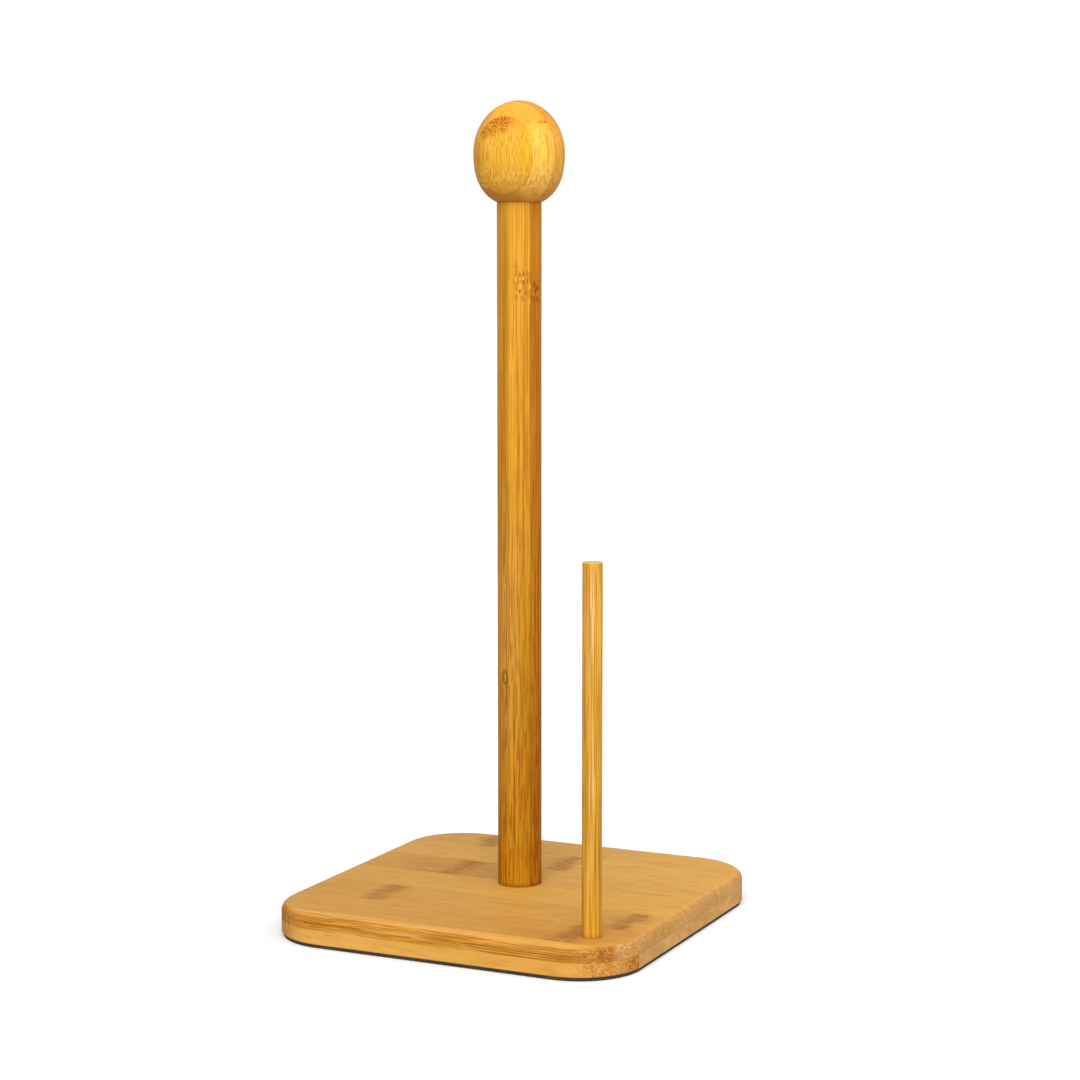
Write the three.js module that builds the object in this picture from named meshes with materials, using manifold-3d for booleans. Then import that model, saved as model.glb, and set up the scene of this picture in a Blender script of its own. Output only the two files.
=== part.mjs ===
// Bamboo roll stand: a square two-layer base with an anti-slip pad, a tall round post with an egg-shaped
// knob that a roll slides down over, and a thin rod near the front corner that keeps the roll's loose
// end from running back.
//
// Millimetres, +Z up. The origin is the middle of the pad's underside. +X runs along the grain of the
// base and along its front edge, towards the corner with the rod. +Y runs to the back.
import * as THREE from "three";
import { mergeVertices } from "three/addons/utils/BufferGeometryUtils.js";
import Module from "manifold-3d";

// Base: a square with round corners, made of two layers of flat bamboo strips.
const BASE_SIDE = 156;
const BASE_CORNER_RADIUS = 26.7;
const LOWER_LAYER = 5.75;
const UPPER_LAYER = 6.25;
const EDGE_ROUNDING = 3.3;

// Glue joints are planes at even steps along a direction, which is turned from +X by an angle. The
// base's strips run along X, and the joints of its two layers are staggered.
const ACROSS_Y = Math.PI / 2;
const UPPER_JOINTS = { first: -71.6, step: 25, turn: ACROSS_Y };
const LOWER_JOINTS = { first: -54, step: 24.5, turn: ACROSS_Y };

// Anti-slip pad, set back a little from the base's edge.
const PAD_THICKNESS = 1.5;
const PAD_SETBACK = 0.7;
const PAD_HOLE_RADIUS = 8.5;

// Post, turned from three staves that are glued side by side.
const POST_X = -0.5;
const POST_Y = 3.7;
const POST_RADIUS = 9;
const POST_LENGTH = 280;
const POST_EASED_EDGE = 0.4;
const POST_JOINTS = { first: -4.5, step: 9, turn: THREE.MathUtils.degToRad(25) };

// Knob: an egg cut flat where it sits on the post, turned from a block of five glued layers. Each half
// is a superellipse, fuller below.
const KNOB_RADIUS = 18.4;
const KNOB_WIDEST_ABOVE_SEAM = 19.4;
const KNOB_UPPER_HALF = { height: 20.9, exponent: 2 };
const KNOB_LOWER_HALF = { height: 21.2, exponent: 2.4 };
const KNOB_JOINTS = { first: -13.5, step: 9, turn: ACROSS_Y };

// Side rod, glued into a blind socket that is a little wider and deeper than the rod.
const ROD_X = 60.2;
const ROD_Y = -59.2;
const ROD_RADIUS = 3.875;
const ROD_LENGTH_ABOVE_BASE = 144.8;
const ROD_LENGTH_IN_BASE = 9.5;
const ROD_EASED_EDGE = 0.25;
const SOCKET_GAP = 0.1;
const SOCKET_SPARE_DEPTH = 0.3;

// Fluted dowel between post and knob, half of it in each.
const DOWEL_RADIUS = 4;
const DOWEL_LENGTH = 32;
const DOWEL_CHAMFER = 0.8;
const FLUTE_COUNT = 12;
const FLUTE_DEPTH = 0.4;
const DOWEL_BORE_RADIUS = 4.1;
const DOWEL_BORE_SPARE_DEPTH = 1;

// Threaded insert in the post's foot, its outer thread shown as rings.
const INSERT_LENGTH = 14;
const INSERT_RECESS = 0.5;
const INSERT_INNER_RADIUS = 3.1;
const INSERT_BODY_RADIUS = 4.2;
const INSERT_THREAD_RADIUS = 4.9;
const INSERT_THREAD_PITCH = 2;
const INSERT_BORE_RADIUS = 5;
const INSERT_BORE_DEPTH = 28;

// M6 button-head bolt and its washer, in a recess drilled through the lower layer. Its thread is plain.
const BOLT_RADIUS = 3;
const BOLT_LENGTH = 30;
const BOLT_END_CHAMFER = 0.6;
const BOLT_HEAD_RADIUS = 5.75;
const BOLT_HEAD_HEIGHT = 3.2;
const BOLT_HEAD_CROWN = 1.2;
const HEX_KEY_WIDTH = 4;
const HEX_SOCKET_DEPTH = 2;
const BOLT_HOLE_RADIUS = 3.3;
const WASHER_INNER_RADIUS = 3.2;
const WASHER_OUTER_RADIUS = 6.5;
const WASHER_THICKNESS = 1.2;
const RECESS_RADIUS = 7.5;

// Heights of the main faces.
const PAD_TOP = PAD_THICKNESS;
const LAYER_SEAM = PAD_TOP + LOWER_LAYER;
const BASE_TOP = LAYER_SEAM + UPPER_LAYER;
const POST_TOP = BASE_TOP + POST_LENGTH;
const SOCKET_FLOOR = BASE_TOP - ROD_LENGTH_IN_BASE - SOCKET_SPARE_DEPTH;

// How finely round shapes are stepped.
const TURNED_STEPS = 48;
const SMALL_STEPS = 24;
const CORNER_STEPS = 16;
const ROUNDING_STEPS = 4;
const KNOB_STEPS = 22;

// A cutter reaches this far past the faces that it cuts through.
const OVERSHOOT = 2;

const BAMBOO = 0xd39b50;
const BAMBOO_PALE = 0xdcae62;
const BAMBOO_GOLD = 0xd8a045;
const DARK_FOAM = 0x47434a;
const ZINC = 0xb9bcc0;

const wasm = await Module();
wasm.setup();

function solidOf(geometry) {
  const bare = geometry.clone();
  bare.deleteAttribute("normal");
  bare.deleteAttribute("uv");
  const merged = mergeVertices(bare);
  return new wasm.Manifold(
    new wasm.Mesh({
      numProp: 3,
      vertProperties: merged.attributes.position.array,
      triVerts: new Uint32Array(merged.index.array),
    }),
  );
}

function geometryOf(solid) {
  const { vertProperties, triVerts } = solid.getMesh();
  const geometry = new THREE.BufferGeometry();
  geometry.setAttribute("position", new THREE.BufferAttribute(vertProperties, 3));
  geometry.setIndex(new THREE.BufferAttribute(triVerts, 1));
  geometry.computeVertexNormals();
  return geometry;
}

// A solid of revolution about +Z from [radius, height] pairs.
function turned(profile, steps = TURNED_STEPS) {
  const points = profile.map(([radius, height]) => new THREE.Vector2(radius, height));
  return new THREE.LatheGeometry(points, steps).rotateX(Math.PI / 2);
}

// A vertical cylinder from one height to another.
function cylinder(radius, bottom, top, x = 0, y = 0, steps = TURNED_STEPS) {
  return new THREE.CylinderGeometry(radius, radius, top - bottom, steps)
    .rotateX(Math.PI / 2)
    .translate(x, y, (bottom + top) / 2);
}

// A closed solid through stacked outlines, lowest first, each star-shaped about its middle.
function lofted(outlines) {
  const count = outlines[0].length;
  const middle = (outline) => new THREE.Vector3(0, 0, outline[0].z);
  const points = [...outlines.flat(), middle(outlines[0]), middle(outlines.at(-1))];
  const lastRing = (outlines.length - 1) * count;
  const bottomMiddle = points.length - 2;
  const topMiddle = points.length - 1;
  const index = [];
  for (let i = 0; i < count; i += 1) {
    const next = (i + 1) % count;
    index.push(bottomMiddle, next, i);
    index.push(topMiddle, lastRing + i, lastRing + next);
    for (let ring = 0; ring < lastRing; ring += count) {
      index.push(ring + i, ring + next, ring + count + next);
      index.push(ring + i, ring + count + next, ring + count + i);
    }
  }
  const geometry = new THREE.BufferGeometry().setFromPoints(points);
  geometry.setIndex(index);
  geometry.computeVertexNormals();
  return geometry;
}

// The base's outline at a height, set back from the full square by the same amount all round.
function baseOutline(setback, height) {
  const radius = BASE_CORNER_RADIUS - setback;
  const centre = BASE_SIDE / 2 - BASE_CORNER_RADIUS;
  const outline = [];
  for (let corner = 0; corner < 4; corner += 1) {
    const start = (corner * Math.PI) / 2;
    const cornerX = centre * Math.SQRT2 * Math.cos(start + Math.PI / 4);
    const cornerY = centre * Math.SQRT2 * Math.sin(start + Math.PI / 4);
    for (let step = 0; step <= CORNER_STEPS; step += 1) {
      const angle = start + (step / CORNER_STEPS) * (Math.PI / 2);
      const x = cornerX + radius * Math.cos(angle);
      const y = cornerY + radius * Math.sin(angle);
      outline.push(new THREE.Vector3(x, y, height));
    }
  }
  return outline;
}

// The upper layer, whose top edge is rounded over.
function upperLayer() {
  const outlines = [baseOutline(0, LAYER_SEAM)];
  for (let step = 0; step <= ROUNDING_STEPS; step += 1) {
    const angle = (step / ROUNDING_STEPS) * (Math.PI / 2);
    const setback = EDGE_ROUNDING * (1 - Math.cos(angle));
    const height = BASE_TOP - EDGE_ROUNDING * (1 - Math.sin(angle));
    outlines.push(baseOutline(setback, height));
  }
  return solidOf(lofted(outlines));
}

function lowerLayer() {
  return solidOf(lofted([baseOutline(0, PAD_TOP), baseOutline(0, LAYER_SEAM)]));
}

const boltHole = solidOf(
  cylinder(BOLT_HOLE_RADIUS, 0, BASE_TOP + OVERSHOOT, POST_X, POST_Y, SMALL_STEPS),
);
const boltRecess = solidOf(
  cylinder(RECESS_RADIUS, 0, LAYER_SEAM, POST_X, POST_Y),
);
const rodSocket = solidOf(
  cylinder(ROD_RADIUS + SOCKET_GAP, SOCKET_FLOOR, BASE_TOP + OVERSHOOT, ROD_X, ROD_Y),
);

// A solid cut at its glue joints, as geometries in the order of the joints' direction.
function cutAtJoints(solid, halfWidth, { first, step, turn }) {
  const edge = halfWidth + OVERSHOOT;
  const joints = [-edge];
  for (let place = first; place < halfWidth; place += step) {
    joints.push(place);
  }
  joints.push(edge);
  return joints.slice(1).map((far, i) => {
    const near = joints[i];
    const band = new THREE.BoxGeometry(far - near, 2 * edge, 2 * POST_TOP)
      .translate((near + far) / 2, 0, 0)
      .rotateZ(turn);
    return geometryOf(solid.intersect(solidOf(band)));
  });
}

function antiSlipPad() {
  const sheet = lofted([baseOutline(PAD_SETBACK, 0), baseOutline(PAD_SETBACK, PAD_TOP)]);
  const hole = cylinder(PAD_HOLE_RADIUS, -OVERSHOOT, PAD_TOP + OVERSHOOT, POST_X, POST_Y);
  return geometryOf(solidOf(sheet).subtract(solidOf(hole)));
}

// The post from its foot at height 0, with the insert's bore below and the dowel's bore above.
function post() {
  const dowelFloor = POST_LENGTH - DOWEL_LENGTH / 2 - DOWEL_BORE_SPARE_DEPTH;
  return solidOf(turned([
    [0, INSERT_BORE_DEPTH],
    [INSERT_BORE_RADIUS, INSERT_BORE_DEPTH],
    [INSERT_BORE_RADIUS, 0],
    [POST_RADIUS - POST_EASED_EDGE, 0],
    [POST_RADIUS, POST_EASED_EDGE],
    [POST_RADIUS, POST_LENGTH - POST_EASED_EDGE],
    [POST_RADIUS - POST_EASED_EDGE, POST_LENGTH],
    [DOWEL_BORE_RADIUS, POST_LENGTH],
    [DOWEL_BORE_RADIUS, dowelFloor],
    [0, dowelFloor],
  ]));
}

// The knob's surface as [radius, height], at an angle from its widest place.
function knobSurface(angle) {
  const { height, exponent } = angle > 0 ? KNOB_UPPER_HALF : KNOB_LOWER_HALF;
  const radius = KNOB_RADIUS * Math.cos(angle) ** (2 / exponent);
  const rise = height * Math.abs(Math.sin(angle)) ** (2 / exponent);
  return [radius, KNOB_WIDEST_ABOVE_SEAM + Math.sign(angle) * rise];
}

// The knob from its flat seat at height 0, with the dowel's bore in it.
function knob() {
  const boreTop = DOWEL_LENGTH / 2 + DOWEL_BORE_SPARE_DEPTH;
  const profile = [
    [0, boreTop],
    [DOWEL_BORE_RADIUS, boreTop],
    [DOWEL_BORE_RADIUS, 0],
  ];
  const seatDepth = KNOB_WIDEST_ABOVE_SEAM / KNOB_LOWER_HALF.height;
  const seatAngle = -Math.asin(seatDepth ** (KNOB_LOWER_HALF.exponent / 2));
  for (let step = 0; step < KNOB_STEPS; step += 1) {
    profile.push(knobSurface(seatAngle + (step / KNOB_STEPS) * (Math.PI / 2 - seatAngle)));
  }
  profile.push([0, KNOB_WIDEST_ABOVE_SEAM + KNOB_UPPER_HALF.height]);
  return solidOf(turned(profile));
}

// The side rod, with height 0 at the base's top face.
function sideRod() {
  return turned([
    [0, -ROD_LENGTH_IN_BASE],
    [ROD_RADIUS - ROD_EASED_EDGE, -ROD_LENGTH_IN_BASE],
    [ROD_RADIUS, -ROD_LENGTH_IN_BASE + ROD_EASED_EDGE],
    [ROD_RADIUS, ROD_LENGTH_ABOVE_BASE - ROD_EASED_EDGE],
    [ROD_RADIUS - ROD_EASED_EDGE, ROD_LENGTH_ABOVE_BASE],
    [0, ROD_LENGTH_ABOVE_BASE],
  ]);
}

// The dowel's outline, whose flutes let glue and air out of the bore.
function flutedOutline(setback, height) {
  const outline = [];
  const stepsPerFlute = 6;
  for (let step = 0; step < FLUTE_COUNT * stepsPerFlute; step += 1) {
    const angle = (step / (FLUTE_COUNT * stepsPerFlute)) * 2 * Math.PI;
    const flute = FLUTE_DEPTH * Math.max(0, Math.cos(FLUTE_COUNT * angle));
    const radius = DOWEL_RADIUS - setback - flute;
    outline.push(new THREE.Vector3(radius * Math.cos(angle), radius * Math.sin(angle), height));
  }
  return outline;
}

// The dowel, with height 0 at its middle.
function knobDowel() {
  const end = DOWEL_LENGTH / 2;
  return lofted([
    flutedOutline(DOWEL_CHAMFER, -end),
    flutedOutline(0, -end + DOWEL_CHAMFER),
    flutedOutline(0, end - DOWEL_CHAMFER),
    flutedOutline(DOWEL_CHAMFER, end),
  ]);
}

// The insert from its lower end at height 0.
function threadedInsert() {
  const profile = [[INSERT_INNER_RADIUS, 0]];
  for (let foot = 0; foot < INSERT_LENGTH; foot += INSERT_THREAD_PITCH) {
    profile.push([INSERT_BODY_RADIUS, foot]);
    profile.push([INSERT_THREAD_RADIUS, foot + INSERT_THREAD_PITCH / 2]);
  }
  profile.push([INSERT_BODY_RADIUS, INSERT_LENGTH]);
  profile.push([INSERT_INNER_RADIUS, INSERT_LENGTH]);
  profile.push([INSERT_INNER_RADIUS, 0]);
  return turned(profile, SMALL_STEPS);
}

// The bolt from the crown of its head at height 0, with a hexagon socket in the head.
function baseBolt() {
  const end = BOLT_HEAD_HEIGHT + BOLT_LENGTH;
  const shape = turned([
    [0, 0],
    [BOLT_HEAD_RADIUS - BOLT_HEAD_CROWN, 0],
    [BOLT_HEAD_RADIUS, BOLT_HEAD_CROWN],
    [BOLT_HEAD_RADIUS, BOLT_HEAD_HEIGHT],
    [BOLT_RADIUS, BOLT_HEAD_HEIGHT],
    [BOLT_RADIUS, end - BOLT_END_CHAMFER],
    [BOLT_RADIUS - BOLT_END_CHAMFER, end],
    [0, end],
  ], SMALL_STEPS);
  const hexRadius = HEX_KEY_WIDTH / Math.sqrt(3);
  const socket = cylinder(hexRadius, -OVERSHOOT, HEX_SOCKET_DEPTH, 0, 0, 6);
  return geometryOf(solidOf(shape).subtract(solidOf(socket)));
}

// The washer from its lower face at height 0.
function boltWasher() {
  return turned([
    [WASHER_INNER_RADIUS, 0],
    [WASHER_OUTER_RADIUS, 0],
    [WASHER_OUTER_RADIUS, WASHER_THICKNESS],
    [WASHER_INNER_RADIUS, WASHER_THICKNESS],
    [WASHER_INNER_RADIUS, 0],
  ], SMALL_STEPS);
}

const stand = new THREE.Group();
stand.name = "roll_stand";

function add(parent, name, geometry, color, roughness, metalness = 0) {
  const material = new THREE.MeshStandardMaterial({ color, roughness, metalness });
  const mesh = new THREE.Mesh(geometry, material);
  mesh.name = name;
  parent.add(mesh);
  return mesh;
}

// The pieces of a glued-up block. Neighbours differ a little in tone, as pieces of different canes do.
function addPieces(parent, prefix, geometries, color, roughness) {
  geometries.forEach((geometry, i) => {
    const toneSteps = 3;
    const toneStep = 0.02;
    const mesh = add(parent, `${prefix}_${i + 1}`, geometry, color, roughness);
    mesh.material.color.offsetHSL(0, 0, toneStep * ((i % toneSteps) - 1));
  });
}

function groupAt(parent, x, y, z) {
  const group = new THREE.Group();
  group.position.set(x, y, z);
  parent.add(group);
  return group;
}

const upperBoard = upperLayer().subtract(boltHole).subtract(rodSocket);
const lowerBoard = lowerLayer().subtract(boltRecess).subtract(rodSocket);
const upperStrips = cutAtJoints(upperBoard, BASE_SIDE / 2, UPPER_JOINTS);
const lowerStrips = cutAtJoints(lowerBoard, BASE_SIDE / 2, LOWER_JOINTS);
addPieces(stand, "top_strip", upperStrips, BAMBOO, 0.5);
addPieces(stand, "bottom_strip", lowerStrips, BAMBOO_PALE, 0.5);
add(stand, "anti_slip_pad", antiSlipPad(), DARK_FOAM, 0.9);

// Everything on the post's own axis.
const onBase = groupAt(stand, POST_X, POST_Y, BASE_TOP);
addPieces(onBase, "post_stave", cutAtJoints(post(), POST_RADIUS, POST_JOINTS), BAMBOO, 0.45);
add(onBase, "threaded_insert", threadedInsert(), ZINC, 0.4, 1).position.z = INSERT_RECESS;

const onPost = groupAt(stand, POST_X, POST_Y, POST_TOP);
addPieces(onPost, "knob_layer", cutAtJoints(knob(), KNOB_RADIUS, KNOB_JOINTS), BAMBOO_GOLD, 0.4);
add(onPost, "knob_dowel", knobDowel(), BAMBOO_PALE, 0.7);

const inRecess = groupAt(stand, POST_X, POST_Y, LAYER_SEAM - WASHER_THICKNESS);
add(inRecess, "bolt_washer", boltWasher(), ZINC, 0.35, 1);
add(inRecess, "base_bolt", baseBolt(), ZINC, 0.3, 1).position.z = -BOLT_HEAD_HEIGHT;

const rod = add(stand, "side_rod", sideRod(), BAMBOO_PALE, 0.55);
rod.position.set(ROD_X, ROD_Y, BASE_TOP);

export default stand;
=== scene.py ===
"""Looks of the bamboo roll stand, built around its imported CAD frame."""

import math

import bmesh
import bpy
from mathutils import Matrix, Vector


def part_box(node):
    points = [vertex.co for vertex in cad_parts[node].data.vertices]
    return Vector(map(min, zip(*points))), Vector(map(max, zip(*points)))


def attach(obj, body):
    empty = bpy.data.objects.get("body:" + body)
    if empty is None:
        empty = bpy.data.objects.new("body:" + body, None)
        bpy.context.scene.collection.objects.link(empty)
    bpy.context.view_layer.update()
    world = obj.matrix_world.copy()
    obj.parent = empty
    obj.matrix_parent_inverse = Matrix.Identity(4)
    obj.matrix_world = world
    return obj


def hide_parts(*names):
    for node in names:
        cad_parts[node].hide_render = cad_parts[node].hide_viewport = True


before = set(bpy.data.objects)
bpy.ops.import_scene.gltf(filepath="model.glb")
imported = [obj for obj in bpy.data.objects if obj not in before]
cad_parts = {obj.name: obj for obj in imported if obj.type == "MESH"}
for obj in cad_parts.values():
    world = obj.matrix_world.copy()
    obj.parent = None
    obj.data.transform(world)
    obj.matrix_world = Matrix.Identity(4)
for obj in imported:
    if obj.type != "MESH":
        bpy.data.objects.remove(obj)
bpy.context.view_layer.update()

MM = 0.001

# ---------------------------------------------------------------- sizes, in metres

# From the frame.
TOP_STRIP_NAMES = [f"top_strip_{i}" for i in range(1, 8)]
BOTTOM_STRIP_NAMES = [f"bottom_strip_{i}" for i in range(1, 8)]
POST_NAMES = [f"post_stave_{i}" for i in range(1, 4)]
KNOB_NAMES = [f"knob_layer_{i}" for i in range(1, 6)]


def box_of(names):
    """The box around several nodes."""
    boxes = [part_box(name) for name in names]
    low = Vector([min(box[0][axis] for box in boxes) for axis in range(3)])
    high = Vector([max(box[1][axis] for box in boxes) for axis in range(3)])
    return low, high


lower_low, lower_high = box_of(BOTTOM_STRIP_NAMES)
upper_high = box_of(TOP_STRIP_NAMES)[1]
post_low, post_high = box_of(POST_NAMES)
knob_low, knob_high = box_of(KNOB_NAMES)
rod_low, rod_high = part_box("side_rod")
pad_low, pad_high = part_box("anti_slip_pad")
bolt_low, bolt_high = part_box("base_bolt")
washer_low, washer_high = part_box("bolt_washer")
insert_low, insert_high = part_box("threaded_insert")
dowel_low, dowel_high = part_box("knob_dowel")

BASE_HALF = upper_high.x
BASE_TOP = upper_high.z
LAYER_SEAM = lower_high.z
POST_AXIS = (post_low + post_high) / 2
POST_RADIUS = (post_high.x - post_low.x) / 2
ROD_AXIS = (rod_low + rod_high) / 2
ROD_RADIUS = (rod_high.x - rod_low.x) / 2
KNOB_RADIUS = (knob_high.x - knob_low.x) / 2
KNOB_SEAM = knob_low.z

# Shape facts that no box gives, as the CAD source has them.
CORNER_RADIUS = 26.7 * MM
EDGE_ROUNDING = 3.3 * MM
POST_JOINTS = (-4.5 * MM, 4.5 * MM)
POST_GRAIN_TURN = math.radians(25)
POST_EDGE = 0.4 * MM
KNOB_WIDEST = KNOB_SEAM + 19.4 * MM
KNOB_UPPER_EXPONENT = 2
KNOB_LOWER_EXPONENT = 2.4
KNOB_LOWER_HALF = 21.2 * MM
DOWEL_BORE_RADIUS = 4.1 * MM
DOWEL_BORE_SPARE_DEPTH = 1 * MM
DOWEL_CHAMFER = 0.8 * MM
FLUTES = 12
FLUTE_DEPTH = 0.4 * MM
INSERT_BORE_RADIUS = 5 * MM
INSERT_BORE_DEPTH = 28 * MM
BOLT_HOLE_RADIUS = 3.3 * MM
RECESS_RADIUS = 7.5 * MM
PAD_HOLE_RADIUS = 8.5 * MM
WASHER_BORE_RADIUS = 3.2 * MM
INSERT_INNER_RADIUS = 3.1 * MM
INSERT_BODY_RADIUS = 4.2 * MM
INSERT_THREAD_PITCH = 2 * MM
BOLT_RADIUS = 3 * MM
BOLT_END_CHAMFER = 0.6 * MM
BOLT_HEAD_HEIGHT = 3.2 * MM
BOLT_HEAD_CROWN = 1.2 * MM
HEX_KEY_WIDTH = 4 * MM
HEX_SOCKET_DEPTH = 2 * MM
SOCKET_GAP = 0.1 * MM
SOCKET_SPARE_DEPTH = 0.3 * MM

# Finer detail than the CAD source has.
LOWER_EDGE = 0.3 * MM
PAD_EDGE = 0.25 * MM
ROD_EDGE = 0.2 * MM
WASHER_EDGE = 0.25 * MM
BOLT_HEAD_EDGE = 0.2 * MM
BOLT_THREAD_PITCH = 1 * MM
BOLT_THREAD_DEPTH = 0.45 * MM

# A cutter reaches this far past the faces that it cuts through.
HOLE_OVERSHOOT = 2 * MM

# How finely round shapes are stepped: around an outline, over an edge, and along a side.
CORNER_STEPS = 40
TURNED_STEPS = 160
SLIM_STEPS = 96
CUTTER_STEPS = 96
FLUTED_STEPS = 144
THREADED_STEPS = 64
ROUNDING_STEPS = 10
POST_EDGE_STEPS = 5
ROD_EDGE_STEPS = 3
WASHER_EDGE_STEPS = 4
BOLT_CROWN_STEPS = 8
BOLT_HEAD_EDGE_STEPS = 3
KNOB_STEPS = 96
FLUTE_RISES = 12
RISES_PER_THREAD = 5

# Edges between faces that turn by more than this stay sharp.
SHARP_TURN = math.radians(30)

# A point this close to a cut counts as lying on it.
CUT_TOLERANCE = 1e-7

# Seeds of the grain, so that no two pieces share one.
UPPER_FIRST_SEED = 0.4
LOWER_FIRST_SEED = 20.4
STRIP_SEED_STEP = 2.3
KNOB_FIRST_SEED = 53.0
KNOB_SEED_STEP = 1.7

ACROSS_Y = Vector((0, 1, 0))


# ---------------------------------------------------------------- materials: a small node language

def colour(red, green, blue):
    """A colour from its sRGB values, 0 to 255, as the linear values that shaders use."""
    def linear(value):
        value /= 255
        return value / 12.92 if value <= 0.04045 else ((value + 0.055) / 1.055) ** 2.4
    return (linear(red), linear(green), linear(blue), 1.0)


class Signal:
    """A value in a material's node tree. Arithmetic on it adds Math nodes."""

    def __init__(self, tree, socket):
        self.tree = tree
        self.socket = socket

    def math(self, operation, *others):
        """Adds a Math node with this value as its first input."""
        return self.tree.math(operation, self, *others)

    def __add__(self, other):
        return self.math("ADD", other)

    def __sub__(self, other):
        return self.math("SUBTRACT", other)

    def __mul__(self, other):
        return self.math("MULTIPLY", other)

    def __truediv__(self, other):
        return self.math("DIVIDE", other)

    def __rsub__(self, other):
        return self.tree.math("SUBTRACT", other, self)

    __radd__ = __add__
    __rmul__ = __mul__

    def step(self, low, high):
        """0 at low and 1 at high, with a smooth rise between them. low may be above high."""
        inputs = {0: self, 1: low, 2: high}
        return self.tree.put("MapRange", inputs, interpolation_type="SMOOTHSTEP")[0]

    def band(self, centre, half_width, softness):
        """1 within half_width of centre, falling to 0 over softness."""
        return (self - centre).math("ABSOLUTE").step(half_width + softness, half_width)


class Tree:
    """A material being built. Lengths are in millimetres, and places in the row's frame."""

    def __init__(self, name, metallic=0.0, specular=0.5):
        self.material = bpy.data.materials.new(name)
        self.material.use_nodes = True
        self.nodes = self.material.node_tree.nodes
        self.links = self.material.node_tree.links
        self.shader = self.nodes["Principled BSDF"]
        self.shader.inputs["Metallic"].default_value = metallic
        self.shader.inputs["Specular IOR Level"].default_value = specular
        place = self.nodes.new("ShaderNodeTexCoord").outputs["Object"]
        parts = self.put("SeparateXYZ", {0: place})
        self.x, self.y, self.z = (part * (1 / MM) for part in parts)

    def feed(self, socket, value):
        """Links a Signal or an output to a socket, or sets the socket to a plain value."""
        if isinstance(value, Signal):
            value = value.socket
        if isinstance(value, bpy.types.NodeSocket):
            self.links.new(value, socket)
        else:
            socket.default_value = value

    def put(self, kind, inputs, **settings):
        """Adds a node and returns its outputs as Signals."""
        node = self.nodes.new("ShaderNode" + kind)
        for key, value in settings.items():
            setattr(node, key, value)
        for key, value in inputs.items():
            self.feed(node.inputs[key], value)
        return [Signal(self, output) for output in node.outputs]

    def math(self, operation, *values):
        """Adds a Math node."""
        return self.put("Math", dict(enumerate(values)), operation=operation)[0]

    def vector(self, x, y, z):
        """Joins three values into a vector."""
        return self.put("CombineXYZ", {0: x, 1: y, 2: z})[0]

    def noise(self, x, y, z, detail=2.0, roughness=0.5):
        """Smooth noise from 0 to 1, with features about one unit across."""
        place = self.vector(x, y, z)
        inputs = {"Vector": place, "Scale": 1.0, "Detail": detail, "Roughness": roughness}
        return self.put("TexNoise", inputs)[0]

    def cells(self, x, y, z):
        """Distance from the middle of the nearest of many scattered cells, and that cell's own value."""
        inputs = {"Vector": self.vector(x, y, z), "Scale": 1.0}
        distance, tint = self.put("TexVoronoi", inputs)[:2]
        return distance, self.put("SeparateColor", {0: tint})[0]

    def mix(self, factor, first, second):
        """The first colour where factor is 0, and the second where it is 1."""
        return self.put("Mix", {0: factor, 6: first, 7: second}, data_type="RGBA")[2]

    def paint(self, value):
        """Sets the shader's colour."""
        self.feed(self.shader.inputs["Base Color"], value)

    def rough(self, value):
        """Sets the shader's roughness."""
        self.feed(self.shader.inputs["Roughness"], value)

    def relief(self, height, distance):
        """Bumps the surface by a height from 0 to 1, where 1 stands distance millimetres proud."""
        inputs = {"Strength": 1.0, "Distance": distance * MM, "Height": height}
        self.feed(self.shader.inputs["Normal"], self.put("Bump", inputs)[0])


# ---------------------------------------------------------------- materials: bamboo

class Tones:
    """The colours of one cane, all worked out from its ground colour."""

    def __init__(self, red, green, blue):
        self.ground = colour(red, green, blue)
        self.pale = self.scaled(1.17, 1.2, 1.5)
        self.brown = self.scaled(0.7, 0.57, 0.36)
        self.dark = self.scaled(0.4, 0.25, 0.12)

    def scaled(self, red, green, blue):
        """The ground colour with its linear values scaled."""
        return (self.ground[0] * red, self.ground[1] * green, self.ground[2] * blue, 1.0)


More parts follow.
